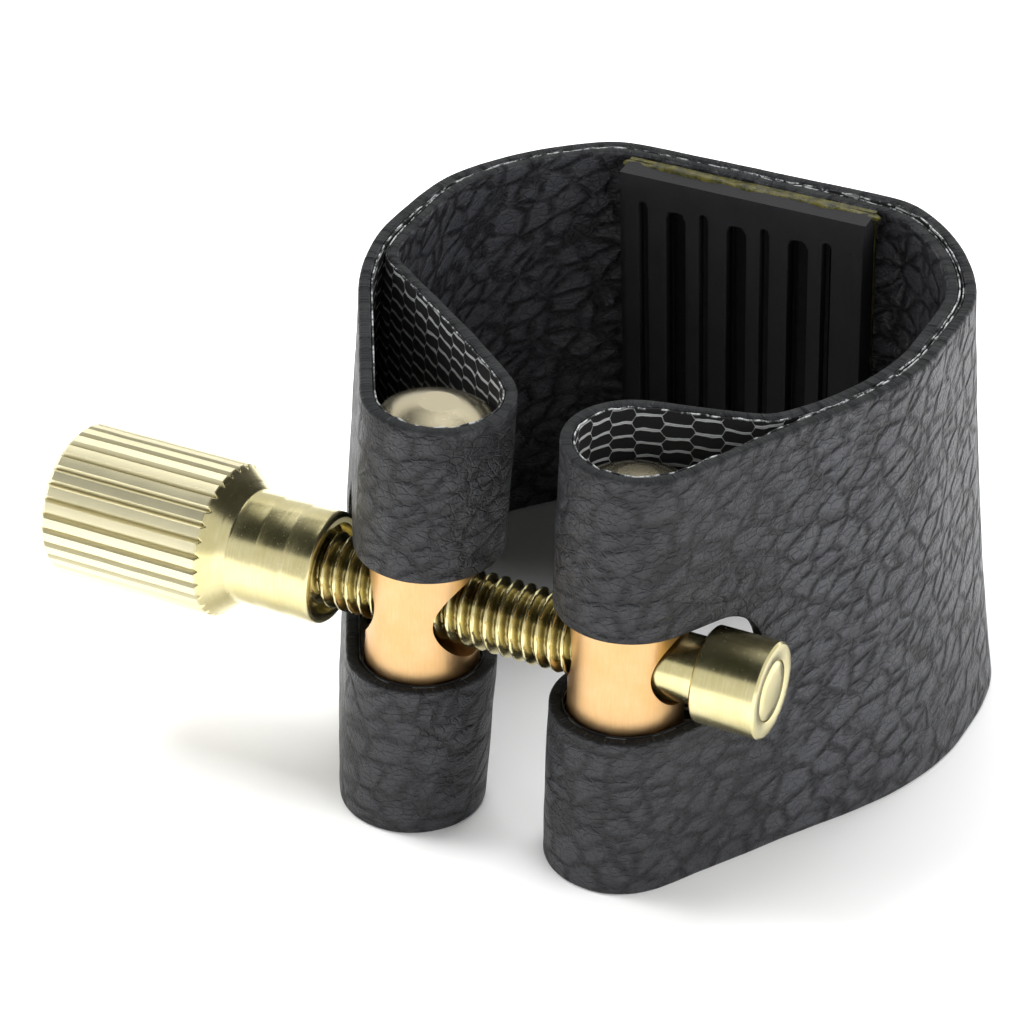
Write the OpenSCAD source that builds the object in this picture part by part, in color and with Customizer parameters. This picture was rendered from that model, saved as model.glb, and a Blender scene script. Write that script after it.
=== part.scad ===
// Single-screw ligature for a saxophone mouthpiece: a conical leather ring whose two ends loop round
// brass barrels, drawn together by one thumb screw, with a ribbed rubber pad that holds the reed.
// The origin is on the ring's axis in the plane of its lower edge. +X runs along the screw from the
// thumb knob to the end cap, +Y points from the screw to the pad, and +Z is up.

/* [Leather ring] */
// Height of the leather band
band_height = 23.2; // [20:0.2:28]
// Outer radius of the ring at its upper edge
ring_r_top = 15.3; // [14.5:0.1:16]
// Outer radius of the ring at its lower edge
ring_r_bottom = 16.9; // [15:0.1:17.5]
// Thickness of one leather layer
leather_t = 0.62; // [0.4:0.02:0.8]
// Thickness of the knitted backing on one layer
mesh_t = 0.12; // [0.08:0.01:0.2]
// Thickness of the cement between the two backed layers
cement_t = 0.08; // [0.04:0.02:0.16]
// How far the back of the ring is flattened behind the pad
back_flat = 1.5; // [1.2:0.1:1.8]
// How far the ring bulges past its radius on both sides of the flat back
corner_bulge = 0.8; // [0.6:0.1:1]
// Height of the slot punched through the right loop for the screw
slot_height = 5.6; // [4.6:0.1:6.4]
// Height of the slot in the left loop, which lets the knob's collar through to the barrel
left_slot_height = 6.3; // [6.2:0.1:7]

/* [Barrels] */
// Radius of each brass barrel
barrel_r = 2.9; // [2.5:0.05:3.2]
// Length of each barrel without its domes
barrel_len = 18.5; // [15:0.1:18.6]
// Height of the dome on each end of a barrel
dome_h = 0.9; // [0.4:0.1:1.4]
// Distance of each barrel from the middle of the gap
barrel_x = 5.5; // [5:0.1:6]
// How far the right barrel's middle lies below the screw
right_barrel_drop = 0.25; // [0:0.05:0.6]
// How far the left barrel's middle lies above the screw
left_barrel_rise = 1.05; // [0:0.05:1.1]
// Lean of the left loop and its barrel towards the right
left_sway = 2.5; // [0:0.1:3]
// Distance of the screw in front of the ring's axis
screw_y = 15.3; // [15:0.1:15.6]
// Play between a barrel and the backing of its loop
loop_play = 0.18; // [0.12:0.02:0.3]
// Radius of the plain hole in the left barrel
plain_hole_r = 2.4; // [2.3:0.05:2.5]

/* [Thumb screw] */
// Outer radius of the thread
thread_r = 1.95; // [1.9:0.01:2]
// Advance of the screw in one turn
thread_pitch = 0.7; // [0.5:0.05:0.8]
// Radius of the plain neck beyond the thread
neck_r = 1.72; // [1.5:0.02:1.8]
// Radius of the knob over its flutes
knob_r = 4.0; // [3.6:0.1:4.4]
// Length of the fluted part of the knob
knob_len = 9.2; // [7:0.1:11]
// Number of flutes on the knob
flutes = 30; // [20:1:36]
// Radius of the smooth collar
collar_r = 2.92; // [2.7:0.02:3.1]
// Length of the smooth collar
collar_len = 4.7; // [3:0.1:6]
// Place of the collar's end face along the screw, left of the gap's middle
collar_end = 10.8; // [10.6:0.1:12]

/* [End cap] */
// Radius of the end cap
cap_r = 2.45; // [2.2:0.05:2.8]
// Length of the end cap
cap_len = 3.4; // [2.5:0.1:4]
// Place of the cap's inner face along the screw, right of the gap's middle
cap_start = 9.7; // [9:0.1:10.4]

/* [Reed pad] */
// Width of the pad across its ribs
pad_w = 14.2; // [12:0.2:15]
// Thickness of the pad's web
pad_web = 0.8; // [0.5:0.1:1.2]
// Height of a rib above the web
rib_h = 0.7; // [0.4:0.1:1]
// Number of ribs
ribs = 8; // [4:2:12]
// Width of the plain border along the pad's upper and lower edges
pad_border = 1.8; // [1:0.1:3]
// Thickness of the adhesive under the pad
glue_t = 0.3; // [0.2:0.05:0.5]

/* [Hidden] */
$fn = 64;

wall_t = 2 * (leather_t + mesh_t) + cement_t;
screw_z = band_height / 2;
taper = (ring_r_bottom - ring_r_top) / band_height;
lean = atan(taper);
loop_r = barrel_r + loop_play + mesh_t + leather_t;
left_offset = 0.2;
running_play = 0.05;
// The backing is modelled this far clear of the leather it is bonded to
bond_gap = 0.05;

// The ring is cut at this angle for the joint that stands for its flexing, with a narrow gap
flex_angle = 125;
flex_gap_angle = 0.8;
// Angles at which the lining parts from the outer layer beside each loop
part_right = -43;
part_left = -14;
// Flat steps along the outer layer, round a loop and along the lining
outer_steps = 32;
loop_steps = 40;
lining_steps = 32;
// Flat steps along each straight flank of a loop, and the steps at which the slots start on the outer
// flank and end on the lining's
flank_steps = 12;
slot_start_right = 6;
slot_start_left = 3;
slot_stop_right = 11;
slot_stop_left = 9;
// Half height of a slot's first opening at its round ends, as a length along the strip
slot_end = 0.3;
// The knitted backing stops short of the leather's edges
mesh_inset = 0.3;

function ring_r(z) = ring_r_bottom - taper * z;
function loop_x(z, sway) = barrel_x - tan(sway) * (z - screw_z);
function loop_y(z) = -screw_y - taper * (screw_z - z);

// Radius of the ring at angle a: round in front, and behind the smooth minimum of a larger circle,
// the upright sides and the flat back
blend_power = 60;
function behind(r, a) =
    pow(pow(r + corner_bulge, -blend_power)
        + pow(abs(cos(a)) / r, blend_power)
        + pow(sin(a) / (r - back_flat), blend_power), -1 / blend_power);
function ring_face(r, a) = sin(a) <= 0 ? r : min(r + corner_bulge, behind(r, a));
function on_circle(r, a) = [r * cos(a), r * sin(a)];
function arc(c, r, a0, a1, n) =
    [for (i = [0:n]) c + on_circle(r, a0 + (a1 - a0) * i / n)];
function ring_arc(r, a0, a1, n) =
    [for (i = [0:n]) let (a = a0 + (a1 - a0) * i / n) on_circle(ring_face(r, a), a)];

function line(p, q, n) = [for (i = [1:n - 1]) p + (q - p) * i / n];

// One face of the sleeve at height z, d below its exposed side: round the ring, off it along the
// tangent it shares with the loop, round the loop, and back along the lining to the ring
function sleeve(z, d, cut_angle, part_angle, y_shift, sway) =
    let (
        outer = ring_r(z) - d,
        inner = ring_r(z) - wall_t + d,
        r = loop_r - d,
        c = [loop_x(z, sway), loop_y(z) + y_shift],
        away = atan2(c[1], c[0]),
        leave = away + acos((outer - r) / norm(c)),
        q = on_circle(inner, part_angle),
        back = atan2(q[1] - c[1], q[0] - c[0]) + acos(r / norm(q - c)) - 360
    )
    concat(
        ring_arc(outer, cut_angle, leave, outer_steps),
        line(on_circle(outer, leave), c + on_circle(r, leave), flank_steps),
        arc(c, r, leave, back, loop_steps),
        line(c + on_circle(r, back), q, flank_steps),
        ring_arc(inner, part_angle, cut_angle, lining_steps)
    );

// Half the height of a slot at column i, round at its two ends i0 and i1
function slot_half(path, i, i0, i1, height) =
    let (
        r = height / 2,
        s = slot_end + min(norm(path[i] - path[i0]), norm(path[i] - path[i1]))
    )
    r * sqrt(1 - pow(1 - min(1, s / r), 2));

function quad(a, b, c, d) = [[a, b, c], [a, c, d]];

// A strip between two faces of the sleeve, d0 and d1 below its exposed side, with the slot left open.
// Each column has eight corners: four up the first face and four down the second.
module strip(inset, d0, d1, cut_angle, part_angle, y_shift, sway, slot_h, slot_start, slot_stop) {
    low = [for (d = [d0, d1]) sleeve(0, d, cut_angle, part_angle, y_shift, sway)];
    high = [for (d = [d0, d1]) sleeve(band_height, d, cut_angle, part_angle, y_shift, sway)];
    path = sleeve(screw_z, 0, cut_angle, part_angle, y_shift, sway);
    n = len(path);
    i0 = outer_steps + slot_start;
    i1 = outer_steps + flank_steps + loop_steps + slot_stop;
    points = [for (i = [0:n - 1])
        let (half = i < i0 || i > i1 ? slot_end : slot_half(path, i, i0, i1, slot_h),
             heights = [inset, screw_z - half, screw_z + half, band_height - inset])
        each [for (k = [0:7])
            let (face = k < 4 ? 0 : 1, z = heights[k < 4 ? k : 7 - k],
                 p = low[face][i] + (high[face][i] - low[face][i]) * z / band_height)
            [p[0], p[1], z]]];
    all_round = [[0, 1], [1, 2], [2, 3], [3, 4], [4, 5], [5, 6], [6, 7], [7, 0]];
    split = [[0, 1], [1, 6], [6, 7], [7, 0], [2, 3], [3, 4], [4, 5], [5, 2]];
    sides = [for (i = [0:n - 2], e = i >= i0 && i < i1 ? split : all_round)
        each quad(8 * i + e[0], 8 * i + e[1], 8 * i + 8 + e[1], 8 * i + 8 + e[0])];
    m = 8 * (n - 1);
    walls = concat(
        quad(7, 6, 1, 0), quad(6, 5, 2, 1), quad(5, 4, 3, 2),
        quad(m, m + 1, m + 6, m + 7), quad(m + 1, m + 2, m + 5, m + 6), quad(m + 2, m + 3, m + 4, m + 5),
        quad(8 * i0 + 1, 8 * i0 + 2, 8 * i0 + 5, 8 * i0 + 6),
        quad(8 * i1 + 6, 8 * i1 + 5, 8 * i1 + 2, 8 * i1 + 1));
    polyhedron(points, concat(sides, walls));
}

module along_screw(x) {
    translate([x, -screw_y, screw_z])
        rotate([0, 90, 0])
            children();
}

module right_strip(inset, d0, d1) {
    strip(inset, d0, d1, flex_angle - flex_gap_angle, part_right, 0, 0,
          slot_height, slot_start_right, slot_stop_right);
}

module left_strip(inset, d0, d1) {
    mirror([1, 0, 0])
        strip(inset, d0, d1, 180 - flex_angle - flex_gap_angle, part_left, -left_offset, left_sway,
              left_slot_height, slot_start_left, slot_stop_left);
}

module leather_wrap_right() {
    color([0.13, 0.13, 0.14])
        right_strip(0, 0, leather_t);
}

module leather_wrap_left() {
    color([0.13, 0.13, 0.14])
        left_strip(0, 0, leather_t);
}

module mesh_backing_right() {
    color([0.05, 0.05, 0.05])
        right_strip(mesh_inset, leather_t + bond_gap, leather_t + mesh_t);
}

module mesh_backing_left() {
    color([0.05, 0.05, 0.05])
        left_strip(mesh_inset, leather_t + bond_gap, leather_t + mesh_t);
}

// A barrel with domed ends, drilled across for the screw, its middle z_shift above the hole
module barrel(x, y_shift, z_shift, sway, hole_r) {
    dome_r = (barrel_r * barrel_r + dome_h * dome_h) / (2 * dome_h);
    difference() {
        translate([x, -screw_y + y_shift, screw_z])
            rotate([-lean, sway, 0])
            translate([0, 0, z_shift]) {
                cylinder(h = barrel_len, r = barrel_r, center = true);
                for (end = [0, 1])
                    mirror([0, 0, end])
                        intersection() {
                            translate([0, 0, barrel_len / 2 + dome_h - dome_r])
                                sphere(dome_r);
                            translate([0, 0, barrel_len / 2])
                                cylinder(h = 2 * dome_h, r = barrel_r);
                        }
            }
        translate([x, -screw_y + y_shift, screw_z])
            rotate([0, 90, 0])
                cylinder(h = 3 * barrel_r, r = hole_r, center = true);
    }
}

module right_barrel() {
    color([0.85, 0.66, 0.36])
        barrel(barrel_x, 0, -right_barrel_drop, 0, thread_r + running_play);
}

module left_barrel() {
    color([0.85, 0.66, 0.36])
        barrel(-barrel_x, -left_offset, left_barrel_rise, left_sway, plain_hole_r);
}

cone_len = 1.2;
knob_start = -collar_end - collar_len - cone_len - knob_len;
knob_bevel = 0.35;
flute_r = 0.3;
collar_bevel_len = 0.25;
collar_bevel = 0.2;
recess_r = 2.35;
recess_depth = 0.7;
rod_socket = 4;

// Fluted knob, short cone and smooth collar in one turned piece, with a recess round the rod
module thumb_knob() {
    total = knob_len + cone_len + collar_len;
    color([0.85, 0.8, 0.55])
        along_screw(knob_start)
            difference() {
                rotate_extrude()
                    polygon([
                        [0, 0],
                        [knob_r - knob_bevel, 0],
                        [knob_r, knob_bevel],
                        [knob_r, knob_len],
                        [collar_r, knob_len + cone_len],
                        [collar_r, total - collar_bevel_len],
                        [collar_r - collar_bevel, total],
                        [recess_r, total],
                        [recess_r, total - recess_depth],
                        [thread_r, total - recess_depth],
                        [thread_r, total - rod_socket],
                        [0, total - rod_socket]
                    ]);
                for (i = [0:flutes - 1])
                    rotate([0, 0, i * 360 / flutes])
                        translate([knob_r + flute_r / 3, 0, -1])
                            cylinder(h = knob_len + 1 + cone_len / 2, r = flute_r);
            }
}

thread_end = 6.4;
thread_runout = 0.2;
tail_r = 1.1;
head_r = 1.5;
head_len = 0.3;

// Threaded rod with a plain neck, and a thinner tail whose end is riveted over inside the cap
module threaded_rod() {
    start = -collar_end - rod_socket;
    head_at = cap_start + cap_len - head_len;
    color([0.8, 0.7, 0.35])
        along_screw(start)
            rotate_extrude()
                polygon([
                    [0, 0],
                    [thread_r, 0],
                    [thread_r, thread_end - start],
                    [neck_r, thread_end - start + thread_runout],
                    [neck_r, cap_start - running_play - start],
                    [tail_r, cap_start - running_play - start],
                    [tail_r, head_at - start],
                    [head_r, head_at - start],
                    [head_r, head_at + head_len - start],
                    [0, head_at + head_len - start]
                ]);
}

// Loose cap on the tail: it stops the screw from backing out of the right barrel
module end_cap() {
    head_at = cap_len - head_len - running_play;
    bevel = 0.12;
    color([0.88, 0.84, 0.6])
        along_screw(cap_start)
            rotate_extrude()
                polygon([
                    [tail_r + running_play, 0],
                    [cap_r - bevel, 0],
                    [cap_r, bevel],
                    [cap_r, cap_len - bevel],
                    [cap_r - bevel, cap_len],
                    [head_r + running_play, cap_len],
                    [head_r + running_play, head_at],
                    [tail_r + running_play, head_at]
                ]);
}

// The pad and its adhesive stand on the flat inside of the leaning back wall
wall_clear = 0.05;
module on_back_wall() {
    translate([0, ring_r_bottom - wall_t - back_flat - wall_clear, 0])
        rotate([lean, 0, 0])
            children();
}

pad_clear = 0.1;
pad_height = band_height - 2 * pad_clear;
rib_pitch = pad_w / ribs;
rib_share = 0.6;
rib_w = rib_pitch * rib_share;

module pad_adhesive() {
    color([0.45, 0.42, 0.16])
        on_back_wall()
            translate([-pad_w / 2, -glue_t, pad_clear])
                cube([pad_w, glue_t, pad_height]);
}

module reed_pad() {
    color([0.09, 0.09, 0.09])
        on_back_wall()
            translate([0, -glue_t, pad_clear]) {
                translate([-pad_w / 2, -pad_web, 0])
                    cube([pad_w, pad_web, pad_height]);
                for (z = [0, pad_height - pad_border])
                    translate([-pad_w / 2, -pad_web - rib_h, z])
                        cube([pad_w, pad_web + rib_h, pad_border]);
                for (i = [0:ribs - 1])
                    translate([(i + 0.5) * rib_pitch - pad_w / 2 - rib_w / 2, -pad_web - rib_h, 0])
                        cube([rib_w, pad_web + rib_h, pad_height]);
            }
}

leather_wrap_right();
leather_wrap_left();
mesh_backing_right();
mesh_backing_left();
reed_pad();
pad_adhesive();
right_barrel();
left_barrel();
thumb_knob();
threaded_rod();
end_cap();
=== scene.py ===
"""Looks of a leather saxophone ligature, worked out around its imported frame.

Every length is in metres in the frame's own axes: +X along the screw from knob to cap, +Y from the
screw to the reed pad, +Z up. Shapes are numpy grids; each maker's docstring gives its formula."""
import math

import bmesh
import bpy
import numpy as np
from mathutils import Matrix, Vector


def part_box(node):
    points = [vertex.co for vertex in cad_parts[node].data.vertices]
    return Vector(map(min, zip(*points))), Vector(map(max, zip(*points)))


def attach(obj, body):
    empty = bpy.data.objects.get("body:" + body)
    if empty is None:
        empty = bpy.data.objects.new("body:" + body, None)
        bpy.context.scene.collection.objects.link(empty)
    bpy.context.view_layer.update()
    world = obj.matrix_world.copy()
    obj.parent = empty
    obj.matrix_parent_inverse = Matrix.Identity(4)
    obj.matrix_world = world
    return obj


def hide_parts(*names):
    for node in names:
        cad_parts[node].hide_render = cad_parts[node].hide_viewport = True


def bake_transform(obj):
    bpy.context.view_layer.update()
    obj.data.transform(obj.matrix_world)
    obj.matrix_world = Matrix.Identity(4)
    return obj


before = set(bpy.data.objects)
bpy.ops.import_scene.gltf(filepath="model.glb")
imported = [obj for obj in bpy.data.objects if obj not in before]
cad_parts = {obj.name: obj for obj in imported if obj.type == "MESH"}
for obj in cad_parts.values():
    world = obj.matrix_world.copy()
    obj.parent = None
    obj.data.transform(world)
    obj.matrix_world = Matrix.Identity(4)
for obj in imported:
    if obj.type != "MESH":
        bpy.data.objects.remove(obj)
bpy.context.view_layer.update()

MM = 0.001
TAU = 2 * math.pi


# ---- Places and sizes, from the frame's boxes --------------------
def spans(node):
    """The lowest and highest corner of a node, as arrays."""
    low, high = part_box(node)
    return np.array(low), np.array(high)


wrap_high = spans("leather_wrap_right")[1]
barrel_low, barrel_high = spans("right_barrel")
rod_low, rod_high = spans("threaded_rod")
knob_low, knob_high = spans("thumb_knob")
cap_low, cap_high = spans("end_cap")
pad_low, pad_high = spans("reed_pad")

# The ring: its height, its outer radius at the lower edge, and how much narrower it is at the top.
BAND_H = wrap_high[2]
RING_BOTTOM = wrap_high[0]
TAPER = 1.6 * MM / BAND_H
LEAN = math.atan(TAPER)
BACK_FLAT = 1.5 * MM
CORNER_BULGE = 0.8 * MM
LEATHER_T = 0.62 * MM
BACKING_T = 0.12 * MM
WALL_T = 1.56 * MM

# The screw's axis, the barrels and the loops round them. The left loop is set back and leans.
SCREW_Y = (rod_low[1] + rod_high[1]) / 2
SCREW_Z = (rod_low[2] + rod_high[2]) / 2
BARREL_X = (barrel_low[0] + barrel_high[0]) / 2
BARREL_R = (barrel_high[0] - barrel_low[0]) / 2
LEFT_SHIFT = -0.2 * MM
LEFT_SWAY = math.radians(2.5)
LOOP_PLAY = 0.18 * MM
LOOP_R = BARREL_R + LOOP_PLAY + BACKING_T + LEATHER_T
BARREL_HALF = 9.25 * MM
RIGHT_BARREL_RISE = -0.25 * MM
LEFT_BARREL_RISE = 1.05 * MM
PLAIN_HOLE_R = 2.4 * MM
RUNNING_PLAY = 0.05 * MM

# Where each lining joins the ring's inner wall, and each slot: its height, and the shares of the
# outer flank and of the lining at which it starts and stops.
PART_RIGHT = math.radians(-43)
PART_LEFT = math.radians(-14)
SLOT_H = 5.6 * MM
LEFT_SLOT_H = 6.3 * MM
SLOT_SPAN = (6 / 12, 11 / 12)
LEFT_SLOT_SPAN = (3 / 12, 9 / 12)

# The screw's thread and its knob's fluted grip.
THREAD_R = (rod_high[1] - rod_low[1]) / 2
THREAD_PITCH = 0.7 * MM
KNOB_R = (knob_high[1] - knob_low[1]) / 2
KNOB_LEN = 9.2 * MM


# ---- Shader wiring -----------------------------------------------
class Wire:
    """A number that varies over a surface: arithmetic on it adds Math nodes to its material."""

    def __init__(self, finish, socket):
        self.finish, self.socket = finish, socket

    def math(self, operation, *values):
        return self.finish.node("ShaderNodeMath", {"operation": operation}, dict(enumerate(values)))

    def __add__(self, other):
        return self.math("ADD", self, other)

    def __sub__(self, other):
        return self.math("SUBTRACT", self, other)

    def __rsub__(self, other):
        return self.math("SUBTRACT", other, self)

    def __mul__(self, other):
        return self.math("MULTIPLY", self, other)

    def __truediv__(self, other):
        return self.math("DIVIDE", self, other)

    def __abs__(self):
        return self.math("ABSOLUTE", self)

    __radd__ = __add__
    __rmul__ = __mul__

    def least(self, other):
        return self.math("MINIMUM", self, other)

    def most(self, other):
        return self.math("MAXIMUM", self, other)

    def step(self, low, high, start=0.0, end=1.0):
        """start below low, end above high, and a smooth step between them."""
        return self.finish.node("ShaderNodeMapRange", {"interpolation_type": "SMOOTHSTEP"},
                                {"Value": self, "From Min": low, "From Max": high,
                                 "To Min": start, "To Max": end}, "Result")


class Finish:
    """A material under construction, around one Principled shader."""

    def __init__(self, name, **fixed):
        self.material = bpy.data.materials.new(name)
        self.material.use_nodes = True
        self.tree = self.material.node_tree
        self.tree.nodes.clear()
        self.shader = self.tree.nodes.new("ShaderNodeBsdfPrincipled")
        output = self.tree.nodes.new("ShaderNodeOutputMaterial")
        self.tree.links.new(self.shader.outputs[0], output.inputs["Surface"])
        for socket, value in fixed.items():
            self.set(socket.replace("_", " "), value)

    def node(self, kind, settings=None, sockets=None, out=0):
        """Adds a node: its settings first, then the value or wire of each socket."""
        made = self.tree.nodes.new(kind)
        for setting, value in (settings or {}).items():
            setattr(made, setting, value)
        for socket, value in (sockets or {}).items():
            if isinstance(value, Wire):
                self.tree.links.new(value.socket, made.inputs[socket])
            else:
                made.inputs[socket].default_value = value
        return Wire(self, made.outputs[out])

    def set(self, socket, value):
        if isinstance(value, Wire):
            self.tree.links.new(value.socket, self.shader.inputs[socket])
        else:
            self.shader.inputs[socket].default_value = value

    def place(self, scale=(1, 1, 1)):
        """Object coordinates in millimetres, scaled."""
        return self.mapped(self.node("ShaderNodeTexCoord", out="Object"), scale, (0, 0, 0))

    def laid(self, scale=(1, 1, 1), turn=(0, 0, 0)):
        """The strip's own map in millimetres, along it and up it, turned and then scaled."""
        return self.mapped(self.node("ShaderNodeUVMap", {"uv_map": "strip"}), scale, turn)

    def mapped(self, spot, scale, turn):
        millimetres = self.vector("SCALE", spot, 1 / MM)
        turned = self.node("ShaderNodeMapping", {}, {"Vector": millimetres, "Rotation": turn})
        return self.vector("MULTIPLY", turned, scale)

    def vector(self, operation, a, b):
        """Arithmetic on a vector and another, or for SCALE on a vector and a number."""
        second = "Scale" if operation == "SCALE" else 1
        return self.node("ShaderNodeVectorMath", {"operation": operation}, {0: a, second: b})

    def split(self, spot):
        """The three parts of a vector."""
        made = self.node("ShaderNodeSeparateXYZ", {}, {0: spot}).socket.node
        return [Wire(self, socket) for socket in made.outputs]

    def noise(self, spot, scale, detail=3.0, rough=0.5, warp=0.0, out="Fac"):
        return self.node("ShaderNodeTexNoise", {"noise_dimensions": "3D"},
                         {"Vector": spot, "Scale": scale, "Detail": detail, "Roughness": rough,
                          "Distortion": warp}, out)

    def cells(self, spot, scale, feature="F1", out="Distance"):
        return self.node("ShaderNodeTexVoronoi", {"feature": feature},
                         {"Vector": spot, "Scale": scale}, out)

    def shifted(self, spot, amount, scale):
        """spot moved about by colour noise, so that a pattern on it wanders."""
        drift = self.vector("SUBTRACT", self.noise(spot, scale, 2.0, out="Color"), (0.5, 0.5, 0.5))
        return self.vector("ADD", spot, self.vector("SCALE", drift, amount))

    def attribute(self, name):
        return self.node("ShaderNodeAttribute", {"attribute_name": name}, out="Fac")

    def blend(self, share, a, b):
        """Colour a where share is 0 and colour b where it is 1."""
        colours = {key: value if isinstance(value, Wire) else (*value, 1.0)
                   for key, value in ((6, a), (7, b))}
        return self.node("ShaderNodeMix", {"data_type": "RGBA"}, {0: share, **colours}, 2)

    def bump(self, height, depth):
        """A bump of depth metres where height is 1."""
        return self.node("ShaderNodeBump", {}, {"Height": height, "Distance": depth, "Strength": 1.0})


# ---- Mesh making -------------------------------------------------
# Points on a side of the noise lattice, the groove depth a finish darkens fully, the smooth shading
# limit of a drilled piece in degrees, and how near the points are that weld into one.
LATTICE = 257
GROOVE_FULL = 0.3 * MM
DRILLED_ANGLE = 35
BAND_WELD = 0.017 * MM
DRILL_WELD = 0.0005 * MM


def grid_faces(rows, columns, wrap_rows=False, wrap_columns=False):
    """Quads of a rows by columns grid of points, closed round where it wraps."""
    r = np.arange(rows if wrap_rows else rows - 1)[:, None]
    c = np.arange(columns if wrap_columns else columns - 1)[None, :]
    up, along = (r + 1) % rows, (c + 1) % columns
    return np.stack([r * columns + c, r * columns + along,
                     up * columns + along, up * columns + c], -1).reshape(-1, 4)


def piece(name, points, faces, finish, smooth_angle=None):
    """A mesh object at the origin from points (n, 3) and faces, smooth shaded."""
    mesh = bpy.data.meshes.new(name)
    mesh.from_pydata(np.asarray(points).reshape(-1, 3).tolist(), [],
                     [f.tolist() if hasattr(f, "tolist") else f for f in faces])
    mesh.update()
    made = bpy.data.objects.new(name, mesh)
    bpy.context.scene.collection.objects.link(made)
    mesh.materials.append(finish)
    mesh.shade_smooth()
    if smooth_angle is not None:
        mesh.set_sharp_from_angle(angle=math.radians(smooth_angle))
    return made


def value_noise(u, v, cell, seed):
    """Smooth noise from -1 to 1: random heights on a lattice of the given cell, blended by a
    smooth step."""
    heights = np.random.default_rng(seed).uniform(-1, 1, (LATTICE, LATTICE))
    x, y = u / cell, v / cell
    i, j = np.floor(x).astype(int), np.floor(y).astype(int)
    fx, fy = x - i, y - j
    fx, fy = fx * fx * (3 - 2 * fx), fy * fy * (3 - 2 * fy)
    i0, i1, j0, j1 = i % LATTICE, (i + 1) % LATTICE, j % LATTICE, (j + 1) % LATTICE
    low = heights[i0, j0] * (1 - fx) + heights[i1, j0] * fx
    high = heights[i0, j1] * (1 - fx) + heights[i1, j1] * fx
    return low * (1 - fy) + high * fy


def turned(name, profile, centre, finish, sides=128, axis="x", radial=None, closed=False,
           smooth_angle=40, tilt=0.0, sway=0.0):
    """A turned piece: each (place, radius) of the profile is carried round the axis. radial(angle,
    place, radius) may give the radius at each angle, as for flutes, and what it takes off is stored
    for the finish. A closed profile makes a ring. tilt leans the shape about X, then sway about Y."""
    place, radius = (np.array([p[k] for p in profile])[:, None] for k in (0, 1))
    angle = np.linspace(0, TAU, sides, endpoint=False)[None, :]
    r = radial(angle, place, radius) if radial else radius + 0 * angle
    along = place + 0 * angle
    if axis == "x":
        x, y, z = along, r * np.cos(angle), r * np.sin(angle)
    else:
        x, y, z = r * np.cos(angle), r * np.sin(angle), along
    y, z = y * math.cos(tilt) + z * math.sin(tilt), z * math.cos(tilt) - y * math.sin(tilt)
    x, z = x * math.cos(sway) + z * math.sin(sway), z * math.cos(sway) - x * math.sin(sway)
    points = np.stack([x, y, z], -1) + np.asarray(centre)
    faces = list(grid_faces(len(place), sides, wrap_rows=closed, wrap_columns=True))
    if not closed:
        faces += [np.arange(sides)[::-1], (len(place) - 1) * sides + np.arange(sides)]
    made = piece(name, points, faces, finish, smooth_angle)
    sunk(made, (radius - r) / GROOVE_FULL)
    return made


def sunk(made, depth):
    """Stores how deep in a groove each point lies, from 0 to 1, for its finish to darken: painted
    shade on the pad, a darker brown on the brass.
    """
    layer = made.data.attributes.new("deep", "FLOAT", "POINT")
    layer.data.foreach_set("value", np.clip(depth, 0, 1).astype(np.float32).ravel())


def slab(name, front, back, finish, smooth_angle=35):
    """A closed solid between two grids of points of the same size, joined round their edges."""
    rows, columns = front.shape[:2]
    n = rows * columns
    quads = grid_faces(rows, columns)
    index = np.arange(n).reshape(rows, columns)
    rim = np.concatenate([index[0, :-1], index[:-1, -1], index[-1, :0:-1], index[:0:-1, 0]])
    ahead = np.roll(rim, -1)
    walls = np.stack([ahead, rim, rim + n, ahead + n], -1)
    faces = np.concatenate([quads, quads[:, ::-1] + n, walls])
    points = np.concatenate([front.reshape(-1, 3), back.reshape(-1, 3)])
    return piece(name, points, faces, finish, smooth_angle)


def weld(made, reach):
    """Joins points within reach of each other, then drops points that no face uses."""
    shape = bmesh.new()
    shape.from_mesh(made.data)
    bmesh.ops.remove_doubles(shape, verts=shape.verts, dist=reach)
    loose = [v for v in shape.verts if not v.link_faces]
    bmesh.ops.delete(shape, geom=loose, context="VERTS")
    shape.to_mesh(made.data)
    shape.free()


def drilled(made, centre, radius, finish):
    """Cuts a round hole along X through a piece, as a drill would."""
    outline = [(-2 * BARREL_R, radius), (2 * BARREL_R, radius)]
    bit = turned("drill", outline, centre, finish, sides=96)
    cut = made.modifiers.new("hole", "BOOLEAN")
    cut.object, cut.operation, cut.solver = bit, "DIFFERENCE", "EXACT"
    evaluated = made.evaluated_get(bpy.context.evaluated_depsgraph_get())
    shape = bpy.data.meshes.new_from_object(evaluated)
    made.modifiers.clear()
    made.data = shape
    weld(made, DRILL_WELD)
    shape.shade_smooth()
    shape.set_sharp_from_angle(angle=math.radians(DRILLED_ANGLE))
    bpy.data.objects.remove(bit)
    return made


# ---- The leather sleeve's plan -----------------------------------
# How sharply the back's straight and round parts meet, the reach of the bell that rounds the path's
# corners, how far the loops' smoother leather fades, and the columns at each end of a slot and at
# least in each stretch.
BLEND_POWER = 60
SOFT_REACH = 0.55 * MM
LOOP_FADE = 3 * MM
SLOT_END_COLUMNS = 12
LEAST_COLUMNS = 6

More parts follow.
